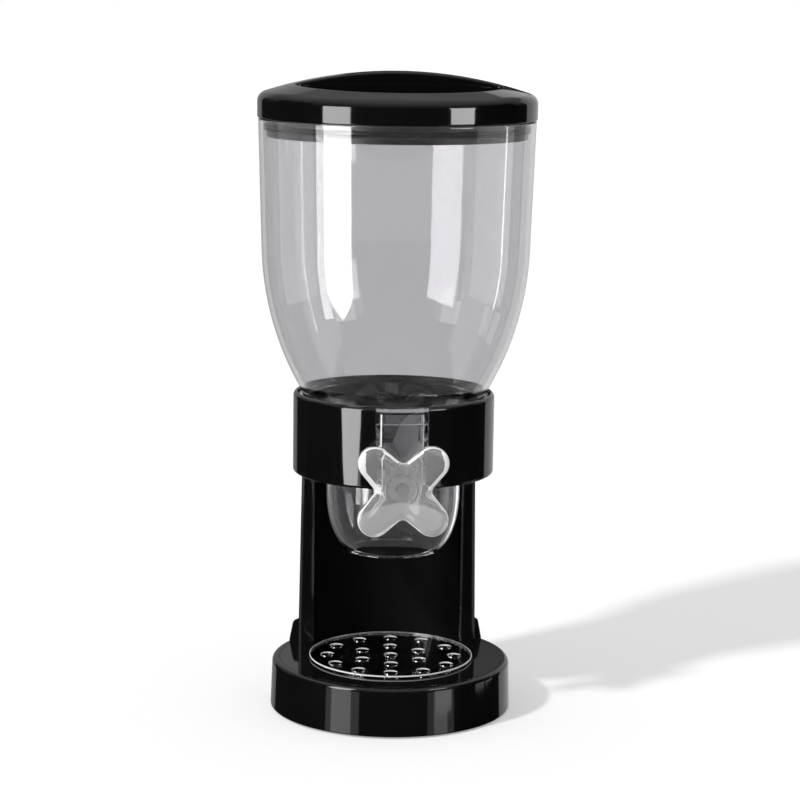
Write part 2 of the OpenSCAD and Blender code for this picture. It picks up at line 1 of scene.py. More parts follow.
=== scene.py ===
"""Looks of a gravity dispenser for dry food: a clear canister, cup and knob on a glossy black stand. Sizes
are in millimetres and angles in degrees, unless a comment says otherwise. The front looks towards -Y."""

import math

import bpy
import numpy as np
from mathutils import Matrix, Vector


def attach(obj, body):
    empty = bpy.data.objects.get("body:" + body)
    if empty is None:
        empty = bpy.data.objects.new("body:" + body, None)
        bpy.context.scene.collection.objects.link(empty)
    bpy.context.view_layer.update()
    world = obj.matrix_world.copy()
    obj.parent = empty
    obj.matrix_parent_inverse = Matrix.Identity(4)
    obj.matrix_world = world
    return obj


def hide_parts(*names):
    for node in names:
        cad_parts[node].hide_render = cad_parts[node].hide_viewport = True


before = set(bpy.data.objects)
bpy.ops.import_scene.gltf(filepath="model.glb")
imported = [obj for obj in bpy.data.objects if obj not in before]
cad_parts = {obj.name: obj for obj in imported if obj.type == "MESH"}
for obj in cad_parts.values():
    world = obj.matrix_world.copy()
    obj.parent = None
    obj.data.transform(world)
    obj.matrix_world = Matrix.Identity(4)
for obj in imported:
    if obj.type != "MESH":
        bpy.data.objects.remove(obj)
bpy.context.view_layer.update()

MM = 0.001

# ---------------------------------------------------------------- camera

# distance and height in metres, and the focal length in pixels of the frame
CAMERA_DISTANCE = 1.4
CAMERA_HEIGHT = 0.428
CAMERA_PITCH = 9.83
CAMERA_ROLL = 0.79
CAMERA_YAW = 0.15
CAMERA_TURN = -5.0
FOCAL_PIXELS = 2406
FRAME_PIXELS = 800
SENSOR_MM = 36
# nothing nearer or farther than this is drawn, in metres
CLIP_START = 0.05
CLIP_END = 100


def add_camera():
    """The camera looks along +Y, turned by yaw, pitched down and rolled.
    The whole rig is then turned about the z axis."""
    pitch, roll, yaw, turn = np.radians([CAMERA_PITCH, CAMERA_ROLL, CAMERA_YAW, CAMERA_TURN])
    forward = np.array([math.sin(yaw) * math.cos(pitch), math.cos(yaw) * math.cos(pitch), -math.sin(pitch)])
    right = np.array([math.cos(yaw), -math.sin(yaw), 0.0])
    up = np.cross(right, forward)
    rolled_right = math.cos(roll) * right + math.sin(roll) * up
    rolled_up = math.cos(roll) * up - math.sin(roll) * right
    pose = Matrix.Identity(4)
    pose.col[0].xyz = rolled_right
    pose.col[1].xyz = rolled_up
    pose.col[2].xyz = -forward
    pose.col[3].xyz = (0.0, -CAMERA_DISTANCE, CAMERA_HEIGHT)
    data = bpy.data.cameras.new("camera")
    data.sensor_width = SENSOR_MM
    data.lens = FOCAL_PIXELS / FRAME_PIXELS * SENSOR_MM
    data.clip_start = CLIP_START
    data.clip_end = CLIP_END
    camera = bpy.data.objects.new("camera", data)
    bpy.context.scene.collection.objects.link(camera)
    camera.matrix_world = Matrix.Rotation(float(turn), 4, "Z") @ pose
    bpy.context.scene.camera = camera


add_camera()

# ---------------------------------------------------------------- shader nodes

# the Mix node has sockets for each kind of value: here are the places of its two inputs and its output
MIX_SOCKETS = {"FLOAT": (2, 3, 0), "RGBA": (6, 7, 2)}


def shader_nodes(material):
    """A material's emptied node tree, with one Principled surface linked to its output."""
    material.use_nodes = True
    tree = material.node_tree
    tree.nodes.clear()
    output = tree.nodes.new("ShaderNodeOutputMaterial")
    surface = tree.nodes.new("ShaderNodeBsdfPrincipled")
    tree.links.new(surface.outputs["BSDF"], output.inputs["Surface"])
    return tree, surface


def feed(tree, value, socket):
    """Another node's output is linked to the socket, and a number or a colour is set on it."""
    if isinstance(value, bpy.types.NodeSocket):
        tree.links.new(value, socket)
    else:
        socket.default_value = value


def math_node(tree, operation, first, second):
    """One arithmetic step of two values, each a number or another node's output."""
    node = tree.nodes.new("ShaderNodeMath")
    node.operation = operation
    feed(tree, first, node.inputs[0])
    feed(tree, second, node.inputs[1])
    return node.outputs[0]


def mixed(tree, kind, share, first, second):
    """A number or a colour between two: first * (1 - share) + second * share."""
    node = tree.nodes.new("ShaderNodeMix")
    node.data_type = kind
    first_place, second_place, result_place = MIX_SOCKETS[kind]
    feed(tree, share, node.inputs[0])
    feed(tree, first, node.inputs[first_place])
    feed(tree, second, node.inputs[second_place])
    return node.outputs[result_place]


def between(tree, value, low, high):
    """A value from 0 to 1 laid out between two numbers, and held at the second one beyond 1."""
    node = tree.nodes.new("ShaderNodeMapRange")
    node.inputs["To Min"].default_value = low
    node.inputs["To Max"].default_value = high
    tree.links.new(value, node.inputs["Value"])
    return node.outputs["Result"]


def noise(tree, coordinates, scale, detail, stretch=None):
    """A noise texture on Object coordinates, which may be stretched along an axis."""
    texture = tree.nodes.new("ShaderNodeTexNoise")
    texture.inputs["Scale"].default_value = scale
    texture.inputs["Detail"].default_value = detail
    source = coordinates.outputs["Object"]
    if stretch:
        mapping = tree.nodes.new("ShaderNodeMapping")
        mapping.inputs["Scale"].default_value = stretch
        tree.links.new(source, mapping.inputs["Vector"])
        source = mapping.outputs["Vector"]
    tree.links.new(source, texture.inputs["Vector"])
    return texture.outputs["Fac"]


# ---------------------------------------------------------------- finishes

# how many times coarser the wander of roughness and colour is than the grain
WANDER = 8
WANDER_DETAIL = 3.0
GRAIN_DETAIL = 4.0
EDGE_SAMPLES = 6


def finish(name, colour, roughness, grain, depth, tint=None, stretch=None, edge=0, **sockets):
    """A moulded or machined finish. Its roughness wanders between two values, its surface has a fine grain
    in cells per metre and metres of depth, its colour moves towards a tint where one is given, and its
    edges shade as rounded by a small radius in metres. The sockets are the shader's own, _ for a blank."""
    material = bpy.data.materials.new(name)
    tree, surface = shader_nodes(material)
    coordinates = tree.nodes.new("ShaderNodeTexCoord")
    broad = noise(tree, coordinates, grain / WANDER, WANDER_DETAIL, stretch)
    fine = noise(tree, coordinates, grain, GRAIN_DETAIL, stretch)
    tree.links.new(between(tree, broad, *roughness), surface.inputs["Roughness"])
    bump = tree.nodes.new("ShaderNodeBump")
    bump.inputs["Strength"].default_value = 1.0
    bump.inputs["Distance"].default_value = depth
    tree.links.new(fine, bump.inputs["Height"])
    tree.links.new(bump.outputs["Normal"], surface.inputs["Normal"])
    if edge:
        rounding = tree.nodes.new("ShaderNodeBevel")
        rounding.samples = EDGE_SAMPLES
        rounding.inputs["Radius"].default_value = edge
        tree.links.new(rounding.outputs["Normal"], bump.inputs["Normal"])
    surface.inputs["Base Color"].default_value = (*colour, 1)
    if tint:
        tree.links.new(mixed(tree, "RGBA", broad, (*colour, 1), (*tint, 1)), surface.inputs["Base Color"])
    for socket, value in sockets.items():
        surface.inputs[socket.replace("_", " ")].default_value = value
    return material


gloss_black = finish("gloss_black", (0.0034, 0.0035, 0.0038), (0.035, 0.075), 260, 0.000004,
                     tint=(0.0052, 0.0053, 0.0058), edge=0.0007, IOR=1.49)
column_black = finish("column_black", (0.0040, 0.0041, 0.0044), (0.06, 0.12), 260, 0.000004,
                      tint=(0.0052, 0.0053, 0.0058), edge=0.0026, IOR=1.49)
panel_black = finish("panel_black", (0.0044, 0.0045, 0.0048), (0.42, 0.52), 700, 0.000006,
                     tint=(0.0056, 0.0057, 0.0062), IOR=1.1)
satin_black = finish("satin_black", (0.0035, 0.0035, 0.004), (0.28, 0.42), 900, 0.00002,
                     tint=(0.006, 0.006, 0.0066), IOR=1.45)
soft_rubber = finish("soft_rubber", (0.012, 0.012, 0.014), (0.5, 0.7), 1400, 0.00003,
                     tint=(0.022, 0.022, 0.024), IOR=1.43)
smoke_clear = finish("smoke_clear", (0.66, 0.655, 0.667), (0.0, 0.02), 60, 0.000004,
                     IOR=1.49, Transmission_Weight=1.0)
cup_clear = finish("cup_clear", (0.86, 0.86, 0.88), (0.0, 0.02), 70, 0.000003,
                   IOR=1.14, Transmission_Weight=1.0, Coat_Weight=1.0, Coat_IOR=1.5, Coat_Roughness=0.02)
tray_clear = finish("tray_clear", (0.5, 0.5, 0.52), (0.03, 0.08), 300, 0.000006,
                    IOR=1.49, Transmission_Weight=1.0)
bright_clear = finish("bright_clear", (0.93, 0.935, 0.94), (0.0, 0.03), 110, 0.000015,
                      IOR=1.49, Transmission_Weight=1.0)
# the knob's face: clouded clear plastic, whose lower half is painted lighter further down as light falling on
# its lower lobes
clouded_face_with_painted_light = finish("clouded_face_with_painted_light", (0.9, 0.9, 0.89), (0.015, 0.04), 160, 0.000006,
                       tint=(0.94, 0.94, 0.94), IOR=1.49)
# painted highlight: a near-white finish that stands in for glints on the knob's rim and upper lobes, the
# nose's front corners, and the tray's holes and rim
painted_highlight = finish("painted_highlight", (0.93, 0.93, 0.94), (0.08, 0.16), 300, 0.00001,
                  tint=(0.97, 0.97, 0.97), IOR=1.49, Transmission_Weight=0.06)
plain_steel = finish("plain_steel", (0.55, 0.55, 0.57), (0.16, 0.34), 1500, 0.000006,
                     tint=(0.42, 0.42, 0.44), stretch=(1, 0.06, 1), Metallic=1.0)
dull_rod = finish("dull_rod", (0.12, 0.12, 0.125), (0.3, 0.45), 1500, 0.000006,
                  tint=(0.17, 0.17, 0.175), stretch=(1, 0.06, 1), Metallic=1.0)
bearing_grey = finish("bearing_grey", (0.30, 0.305, 0.31), (0.32, 0.46), 1200, 0.00001,
                      tint=(0.36, 0.365, 0.37), IOR=1.48)
milky_silicone = finish("milky_silicone", (0.78, 0.79, 0.80), (0.35, 0.5), 700, 0.00002,
                        tint=(0.86, 0.87, 0.88), IOR=1.43, Subsurface_Weight=0.35,
                        Subsurface_Scale=0.004, Subsurface_Radius=(1, 1, 1))


def paint_light_on_lower_half(material, middle, arch, soft, clear_share):
    """Painted light on the knob's face: it is clearer above and cloudier, so lighter, below, as light falls
    on its lower lobes. The border is an arch in x and z, in metres, z = middle - arch * x * x, spread over a
    soft width. clear_share gives how much light passes above and below it."""
    tree = material.node_tree
    surface = next(node for node in tree.nodes if node.type == "BSDF_PRINCIPLED")
    coordinates = tree.nodes.new("ShaderNodeTexCoord")
    split = tree.nodes.new("ShaderNodeSeparateXYZ")
    tree.links.new(coordinates.outputs["Object"], split.inputs[0])
    square = math_node(tree, "MULTIPLY", split.outputs["X"], split.outputs["X"])
    height = math_node(tree, "ADD", split.outputs["Z"], math_node(tree, "MULTIPLY", square, arch))
    share = tree.nodes.new("ShaderNodeMapRange")
    share.interpolation_type = "SMOOTHSTEP"
    share.inputs["From Min"].default_value = middle - soft
    share.inputs["From Max"].default_value = middle + soft
    share.inputs["To Min"].default_value = clear_share[1]
    share.inputs["To Max"].default_value = clear_share[0]
    tree.links.new(height, share.inputs["Value"])
    tree.links.new(share.outputs["Result"], surface.inputs["Transmission Weight"])


# painted light: the knob's face is cloudier and so lighter below the arch
paint_light_on_lower_half(clouded_face_with_painted_light, middle=0.1385, arch=11.1, soft=0.0012, clear_share=(0.80, 0.62))

# ---------------------------------------------------------------- surfaces

# edges that turn by more than this stay sharp
SHARP_ANGLE = 38


def quarter(count):
    """Angles evenly spaced over a quarter turn, from 0 to a right angle, in radians."""
    return np.linspace(0, math.pi / 2, count)


def direction(angle):
    """The unit direction (cos a, sin a) in the plane, at one angle or several in radians."""
    return np.stack([np.cos(angle), np.sin(angle)], -1)


def outward(points, faces):
    """The faces of one closed surface, turned over where the volume they enclose comes out below zero."""
    points = np.asarray(points, float)
    corners = np.array([(f[0], f[i], f[i + 1]) for f in faces for i in range(1, len(f) - 1)])
    a, b, c = (points[corners[:, i]] for i in range(3))
    inside_out = np.einsum("ij,ij->i", a, np.cross(b, c)).sum() < 0
    return points, [tuple(face)[::-1] if inside_out else tuple(face) for face in faces]


def joined(*surfaces):
    """Several closed surfaces, each turned outward, as one list of points and one list of faces."""
    points, faces, start = [], [], 0
    for surface in surfaces:
        its_points, its_faces = outward(*surface)
        points.append(its_points)
        faces += [tuple(v + start for v in face) for face in its_faces]
        start += len(its_points)
    return np.concatenate(points), faces


def put(name, points, faces, body, slot, material, *nodes, bands=None):
    """A smooth closed mesh from points in millimetres. It rides on a body and stands for the nodes.
    Where it has more than one finish, material is a list and bands gives each face's place in it."""
    points, faces = outward(points, faces)
    mesh = bpy.data.meshes.new(name)
    mesh.from_pydata((points * MM).tolist(), [], faces)
    mesh.polygons.foreach_set("use_smooth", np.ones(len(mesh.polygons), bool))
    mesh.set_sharp_from_angle(angle=math.radians(SHARP_ANGLE))
    for one in material if isinstance(material, list) else [material]:
        mesh.materials.append(one)
    if bands is not None:
        mesh.polygons.foreach_set("material_index", np.asarray(bands, np.int32))
    piece = bpy.data.objects.new(name, mesh)
    bpy.context.scene.collection.objects.link(piece)
    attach(piece, body)
    if nodes:
        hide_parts(*nodes)
    return piece


def sheet_faces(rows, columns, wrap_rows=False, wrap_columns=True):
    """Four-cornered faces of a grid whose point (i, j) has the index i * columns + j."""
    i, j = np.meshgrid(np.arange(rows if wrap_rows else rows - 1),
                       np.arange(columns if wrap_columns else columns - 1), indexing="ij")
    i, j = i.ravel(), j.ravel()
    i2, j2 = (i + 1) % rows, (j + 1) % columns
    return np.stack([i * columns + j, i * columns + j2, i2 * columns + j2, i2 * columns + j], 1).tolist()


def fan(hub, ring, flip=False):
    """Triangles from one point to each side of a closed ring of points."""
    ring = np.asarray(ring)
    after = np.roll(ring, -1)
    pairs = (after, ring) if flip else (ring, after)
    return np.stack([np.full(len(ring), hub), *pairs], 1).tolist()


def rounded(corners, radii, steps=6, margin=0.2):
    """A closed outline whose corners are rounded: each corner becomes the arc that touches both of its
    sides. One more point on each side, margin radii beyond the arc, keeps flat sides flat when shaded."""
    corners = np.asarray(corners, float)
    out = []
    for k, (corner, radius) in enumerate(zip(corners, radii)):
        if radius == 0:
            out.append(corner[None])
            continue
        before, after = corners[k - 1] - corner, corners[(k + 1) % len(corners)] - corner
        before, after = before / np.linalg.norm(before), after / np.linalg.norm(after)
        half = 0.5 * math.acos(np.clip(before @ after, -1, 1))
        reach = radius / math.tan(half)
        middle = corner + (before + after) / np.linalg.norm(before + after) * radius / math.sin(half)
        first, last = corner + before * reach - middle, corner + after * reach - middle
        span = math.pi - 2 * half
        t = np.linspace(0, 1, steps + 1)[:, None]
        arc = middle + (np.sin((1 - t) * span) * first + np.sin(t * span) * last) / math.sin(span)
        beyond = reach + margin * radius
        out += [(corner + before * beyond)[None], arc, (corner + after * beyond)[None]]
    return np.concatenate(out)


def turned_surface(outline, steps=192):
    """A closed outline in the plane of radius and height, carried round the z axis:
    x = r cos a, y = r sin a, z = h."""
    outline = np.asarray(outline, float)
    a = np.linspace(0, 2 * math.pi, steps, endpoint=False)
    grid = np.stack([outline[:, :1] * np.cos(a), outline[:, :1] * np.sin(a), outline[:, 1:] + 0 * a], 2)
    return grid.reshape(-1, 3), sheet_faces(len(outline), steps, wrap_rows=True)


def turned(name, outline, body, slot, material, *nodes, steps=192):
    """A piece made of one closed outline carried round the z axis."""
    return put(name, *turned_surface(outline, steps), body, slot, material, *nodes)


# ---------------------------------------------------------------- canister

SHAFT_Z = 144.8
SHOULDER_Z = 189.5
RIM_Z = 350.7
RIM_R = 80.6
BOWL_Z = 274.5
BOWL_R = 78.3
NECK_R = 53.2
NECK_Z = 180.0
WALL = 2.4
NECK_ROUND = 0.5
SHOULDER_ROUND = 0.7
RIM_ROUND = 0.9
ARC_POINTS = 64
# how far round the bowl's arc its outer side begins, in radians, which leaves room to round the shoulder
ARC_LIFT = 0.012


def canister_outline():
    """The neck, then one arc that leaves it at the shoulder and runs smoothly into the straight flare up to
    the rim. The inner side is the same line, one wall further in."""
    flare = math.atan((RIM_R - BOWL_R) / (RIM_Z - BOWL_Z))
    run, rise = BOWL_R - NECK_R, BOWL_Z - SHOULDER_Z
    curve = (run ** 2 + rise ** 2) / (2 * (run * math.cos(flare) - rise * math.sin(flare)))
    centre_r, centre_z = BOWL_R - curve * math.cos(flare), BOWL_Z + curve * math.sin(flare)
    lowest_out = math.asin((SHOULDER_Z - centre_z) / curve) + ARC_LIFT
    lowest_in = math.asin((SHOULDER_Z - WALL / 2 - centre_z) / (curve - WALL))

    def arc(inset, first, last):
        a = np.linspace(first, last, ARC_POINTS)
        return np.stack([centre_r + (curve - inset) * np.cos(a), centre_z + (curve - inset) * np.sin(a)], 1)

    corners = [(NECK_R - WALL, NECK_Z), (NECK_R, NECK_Z), (NECK_R, SHOULDER_Z), *arc(0, lowest_out, -flare),
               (RIM_R, RIM_Z), (RIM_R - WALL, RIM_Z), *arc(WALL, -flare, lowest_in),
               (NECK_R - WALL, SHOULDER_Z - WALL)]
    smooth = [0] * ARC_POINTS
    radii = [NECK_ROUND, NECK_ROUND, SHOULDER_ROUND, *smooth, RIM_ROUND, RIM_ROUND, *smooth, 0]
    return rounded(corners, radii)


turned("canister", canister_outline(), "hopper_unit", "clear_smoke", smoke_clear, "hopper", steps=256)

# ---------------------------------------------------------------- outlet cup

CUP_R = 40.0
CUP_WALL = 2.0
MOUTH_Z = 95.0
MOUTH_R = 25.0
TAPER_H = 36.0
CONE_Z = 156.0
CONE_ROUND = 4.0
STEP_Z = 171.0
STEP_R = 48.5
SOCKET_Z = 180.0
RING_R = 55.9
RING_IN_R = 53.5
JOIN_Z = 153.0
NOSE_HALF = 12.4
NOSE_IN = 10.4
NOSE_FRONT_R = 59.6
NOSE_FRONT_WALL = 2.2
NOSE_CORNER = 0.8
ROOF_Z = 187.1
ROOF_BACK = -54.6
BOSS_WALL_R = 7.86
SLEEVE_HOLE_R = 5.7
REAR_BOSS_R = 10.5
TUBE_ROUND = 0.4
# from where to where along the shaft the tubes round its two bushings run
FRONT_TUBE = (-57.5, -51.2)
REAR_TUBE = (CUP_R + 0.2, CUP_R + 5)
# surfaces that meet are kept this far apart
CLEAR = 0.02
# the heights of the rows of points in the nose's wall, closer together at its round foot
BELOW_STEP, ABOVE_STEP = STEP_Z - 0.1, STEP_Z + 0.2
NOSE_ROWS = [138.1, 139.5, 141, 143, SHAFT_Z, 150, CONE_Z, 163.5,
             BELOW_STEP, ABOVE_STEP, SOCKET_Z, ROOF_Z - CLEAR]
# the nose's side walls end at the cup, along its cone and at its ring: each height, and the y of the end
NOSE_ENDS = [(CONE_Z, -37.3), (BELOW_STEP, -45.6), (ABOVE_STEP, -53.5)]


def lower_cup():
    """The cup below the nose's opening: an upright wall that turns in along a quarter of an ellipse to the
    mouth. The radius grows with sin t and the height with 1 - cos t."""
    t = quarter(20)
    outer = np.stack([MOUTH_R + (CUP_R - MOUTH_R) * np.sin(t),
                      MOUTH_Z + TAPER_H - TAPER_H * np.cos(t)], 1)
    inner = np.stack([MOUTH_R + (CUP_R - CUP_WALL - MOUTH_R) * np.sin(t),
                      MOUTH_Z + TAPER_H - (TAPER_H - CUP_WALL) * np.cos(t)], 1)
    top = [(CUP_R, JOIN_Z), (CUP_R - CUP_WALL, JOIN_Z)]
    return turned_surface(np.concatenate([outer, top, inner[::-1]]), 160)


def upper_cup(steps=144):
    """The cone, step and ring above, carried round the axis on both sides of the nose's opening. Each row
    of points starts and ends at the opening's edge, x = half its width, so at the angle asin(half / r) from
    the front."""
    foot = JOIN_Z + CLEAR
    corners = [(CUP_R, foot), (CUP_R, CONE_Z), (STEP_R, STEP_Z), (RING_R, STEP_Z), (RING_R, SHOULDER_Z),
               (RING_IN_R, SHOULDER_Z), (RING_IN_R, SOCKET_Z), (NECK_R - WALL, SOCKET_Z),
               (CUP_R - CUP_WALL, CONE_Z + CUP_WALL), (CUP_R - CUP_WALL, foot)]
    outline = rounded(corners, [0, CONE_ROUND, 0.6, 0.5, 0.5, 0.5, 0.3, 0.3, CONE_ROUND, 0], 4)
    radius = outline[:, :1]
    opening = np.arcsin(NOSE_IN / radius)
    a = -math.pi / 2 + opening + (2 * math.pi - 2 * opening) * np.linspace(0, 1, steps)
    points = np.stack([radius * np.cos(a), radius * np.sin(a), outline[:, 1:] + 0 * a], 2).reshape(-1, 3)
    first = np.arange(len(outline)) * steps
    faces = sheet_faces(len(outline), steps, wrap_rows=True, wrap_columns=False)
    return points, faces + [first.tolist(), (first + steps - 1)[::-1].tolist()]


def nose_walls():
    """The nose's U-shaped wall, carried upward. In plan it runs along both sides of a front curved about
    the z axis, y = -sqrt(R^2 - x^2), with small rounded corners. Low down its half width follows the circle
    about the shaft, sqrt(half^2 - drop^2), and its ends reach back to the cup. The front corners' faces
    are marked for a painted highlight."""
    z = np.array(NOSE_ROWS)[:, None]
    half = np.sqrt(NOSE_HALF ** 2 - np.maximum(SHAFT_Z - z, 0) ** 2)
    back = np.interp(z, *np.transpose(NOSE_ENDS))
    u, phi = np.linspace(-1, 1, 13), quarter(5)
    flat = half - NOSE_CORNER
    front_x = (flat * u)[:, 1:-1]
    front_y = -np.sqrt(NOSE_FRONT_R ** 2 - front_x ** 2)
    corner_x = flat + NOSE_CORNER * np.cos(phi)
    corner_y = -np.sqrt(NOSE_FRONT_R ** 2 - flat ** 2) + NOSE_CORNER * (1 - np.sin(phi))
    inner_x = NOSE_IN * u[::-1] + 0 * z
    inner_y = -np.sqrt((NOSE_FRONT_R - NOSE_FRONT_WALL) ** 2 - inner_x ** 2)
    side_in = NOSE_IN + 0 * z
    x = np.concatenate([-half, -corner_x, front_x, corner_x[:, ::-1], half, side_in, inner_x, -side_in], 1)
    y = np.concatenate([back, corner_y, front_y, corner_y[:, ::-1], back, back, inner_y, back], 1)
    columns = x.shape[1]
    points = np.stack([x, y, z + 0 * x], 2).reshape(-1, 3)
    top = (len(z) - 1) * columns + np.arange(columns)
    ends = [np.arange(columns)[::-1].tolist(), top.tolist()]
    # the left corner's columns are 1 to 5 and the right one's 17 to 21, whose first face stays clear; the
    # other faces get a painted highlight
    lit = np.zeros((len(z) - 1, columns), int)
    lit[:, 1:5] = lit[:, 18:21] = 1
    return points, sheet_faces(len(z), columns) + ends, np.append(lit.ravel(), [0, 0])


def nose_roof():
    """The flat roof of the nose: the same curved front, y = -sqrt(R^2 - x^2), between two heights."""
    x = NOSE_HALF * np.linspace(-1, 1, 15)
    front = np.stack([x, -np.sqrt(NOSE_FRONT_R ** 2 - x ** 2)], 1)
    plan = np.concatenate([front, [[NOSE_HALF, ROOF_BACK], [-NOSE_HALF, ROOF_BACK]]])
    count = len(plan)
    points = np.concatenate([np.column_stack([plan, np.full(count, h)]) for h in (ROOF_Z, SHOULDER_Z)])
    ends = [np.arange(count)[::-1].tolist(), (count + np.arange(count)).tolist()]
    return points, sheet_faces(2, count) + ends


def shaft_tube(outer, inner, start, end):
    """A tube about the shaft's axis, between two places along it: x = r cos a, z = axis + r sin a."""
    corners = [(outer, start), (outer, end), (inner, end), (inner, start)]
    points, faces = turned_surface(rounded(corners, [TUBE_ROUND] * 4, 3), 64)
    return points[:, [0, 2, 1]] + [0, 0, SHAFT_Z], faces


*nose, nose_painted_highlight = nose_walls()
cup_points, cup_faces = joined(nose, lower_cup(), upper_cup(), nose_roof(),
                               shaft_tube(BOSS_WALL_R, SLEEVE_HOLE_R, *FRONT_TUBE),
                               shaft_tube(REAR_BOSS_R, SLEEVE_HOLE_R, *REAR_TUBE))
put("pouring_cup", cup_points, cup_faces, "hopper_unit", "clear_smoke", [cup_clear, painted_highlight], "outlet_cup",
    bands=np.concatenate([nose_painted_highlight, np.zeros(len(cup_faces) - len(nose_painted_highlight), int)]))

# ---------------------------------------------------------------- lid

LID_Z = 351.0
LID_R = 81.2
LID_RIM_Z = 360.2
LID_EDGE_R = 6.0
LID_WALL = 2.4
DOME_R = 250.0
SCOOP_R = 59.5
BAR_HALF = 8.0
SCOOP_FLOOR = 357.0
SCOOP_CORNER = 4.0
SCOOP_LIP = 1.4
SCOOP_FOOT = 1.6
# the hollow underside ends in a flat roof of this radius
UNDERSIDE_R = 70.0
DOME_SLOPE = math.asin((LID_R - LID_EDGE_R) / (DOME_R - LID_EDGE_R))
DOME_CENTRE_Z = LID_RIM_Z - (DOME_R - LID_EDGE_R) * math.cos(DOME_SLOPE)
DOME_RIM_R = DOME_R * math.sin(DOME_SLOPE)
# how many points the scoop's edge has along the bar, round each corner and round the big arc
BAR_POINTS = 48
CORNER_POINTS = 12
ROUND_POINTS = 96
# the scoop's straight side faces this share of the bar's middle line
FACING_SHARE = 0.93
# half of each small corner faces this much of the rim, in radians
FACING_BEND = 0.12
# how far behind the bar's side the middle of the scoop's floor lies, as a share of the big arc's radius
FLOOR_MIDDLE = 0.42


def dome_height(points):
    """Height of the dome over points of the plane, a sphere's cap: its middle's height + sqrt(R^2 - r^2)."""
    return DOME_CENTRE_Z + np.sqrt(DOME_R ** 2 - (points ** 2).sum(-1))


def raised(flat, height):
    """Points of the plane lifted to a height, which is one for all or one for each."""
    return np.column_stack([flat, np.broadcast_to(height, len(flat))])


def scoop_outline():
    """The half-moon's edge, with its outward direction. It runs along the bar from left to right, round a
    small corner that touches the bar and the big arc, round the big arc and round the other corner."""
    across, low = math.sqrt((SCOOP_R - SCOOP_CORNER) ** 2 - SCOOP_CORNER ** 2), -BAR_HALF - SCOOP_CORNER
    end = math.atan2(-SCOOP_CORNER, across)
    s = np.linspace(-1, 1, BAR_POINTS, endpoint=False)
    t = np.linspace(0, 1, CORNER_POINTS, endpoint=False)
    line = np.stack([s * across, np.full(BAR_POINTS, -BAR_HALF)], 1)
    line_way = np.tile([0.0, 1.0], (BAR_POINTS, 1))
    turns = [math.pi / 2 + (end - math.pi / 2) * t,
             np.linspace(end, -math.pi - end, ROUND_POINTS, endpoint=False),
             -math.pi - end - (math.pi / 2 + end) * t]
    ways = [direction(turn) for turn in turns]
    middles = np.array([(across, low), (0, -BAR_HALF), (-across, low)])
    radii = (SCOOP_CORNER, SCOOP_R, SCOOP_CORNER)
    arcs = [middle + radius * way for middle, radius, way in zip(middles, radii, ways)]
    return np.concatenate([line, *arcs]), np.concatenate([line_way, *ways])


def facing_edge():
    """For each point of the scoop's edge, the point of the half lid's edge that it faces. These run along
    the middle of the bar, then in polar places (r cos a, r sin a): out to the rim, round it, and back in to
    the bar."""
    s = np.linspace(-1, 1, BAR_POINTS, endpoint=False)
    t = np.linspace(0, 1, CORNER_POINTS, endpoint=False)
    near = FACING_SHARE * DOME_RIM_R
    first, last = np.minimum(2 * t, 1), np.maximum(2 * t - 1, 0)
    radius = np.concatenate([near + (DOME_RIM_R - near) * first, np.full(ROUND_POINTS, DOME_RIM_R),
                             DOME_RIM_R - (DOME_RIM_R - near) * last])
    angle = np.concatenate([-FACING_BEND * last,
                            np.linspace(-FACING_BEND, -math.pi + FACING_BEND, ROUND_POINTS, endpoint=False),
                            -math.pi + FACING_BEND * (1 - first)])
    along_bar = np.stack([s * near, 0 * s], 1)
    return np.concatenate([along_bar, radius[:, None] * direction(angle)])


def lid_half():
    """One half of the lid's top: rows run from the facing edge over the dome to the scoop, over a rounded
    lip, down the wall, through a rounded foot and over the floor to its middle."""
    edge, out = scoop_outline()
    facing = facing_edge()
    lip, foot = edge + out * SCOOP_LIP, edge - out * SCOOP_FOOT
    wall_top = dome_height(edge) - SCOOP_LIP
    middle = np.array([0, -BAR_HALF - FLOOR_MIDDLE * SCOOP_R])
    rows = []
    for s in (0, 0.04, 0.12, 0.25, 0.4, 0.55, 0.7, 0.82, 0.92, 0.98):
        flat = facing + (lip - facing) * s
        rows.append(raised(flat, dome_height(flat)))
    for turn in quarter(7):
        flat = edge + out * SCOOP_LIP * (1 - math.sin(turn))
        rows.append(raised(flat, dome_height(flat) - SCOOP_LIP * (1 - math.cos(turn))))
    for s in (0.06, 0.5, 0.94):
        rows.append(raised(edge, wall_top + (SCOOP_FLOOR + SCOOP_FOOT - wall_top) * s))
    for turn in quarter(6):
        flat = edge - out * SCOOP_FOOT * (1 - math.cos(turn))
        rows.append(raised(flat, SCOOP_FLOOR + SCOOP_FOOT * (1 - math.sin(turn))))
    for s in (0.97, 0.8, 0.55, 0.3, 0.12):
        rows.append(raised(middle + (foot - middle) * s, SCOOP_FLOOR))
    columns = len(edge)
    points = np.concatenate([*rows, [[*middle, SCOOP_FLOOR]]])
    faces = sheet_faces(len(rows), columns)
    faces += fan(len(points) - 1, (len(rows) - 1) * columns + np.arange(columns))
    return points, faces, facing


def merged(points, faces, gap=1e-3):
    """Points that lie at the same place become one point, and faces that collapse go."""
    keys = np.round(points / gap).astype(np.int64)
    _, first, index = np.unique(keys, axis=0, return_index=True, return_inverse=True)
    index = index.ravel()
    kept = []
    for face in faces:
        ring = [int(index[v]) for v in face]
        ring = [v for k, v in enumerate(ring) if v != ring[k - 1]]
        if len(ring) > 2:
            kept.append(ring)
    return points[first], kept


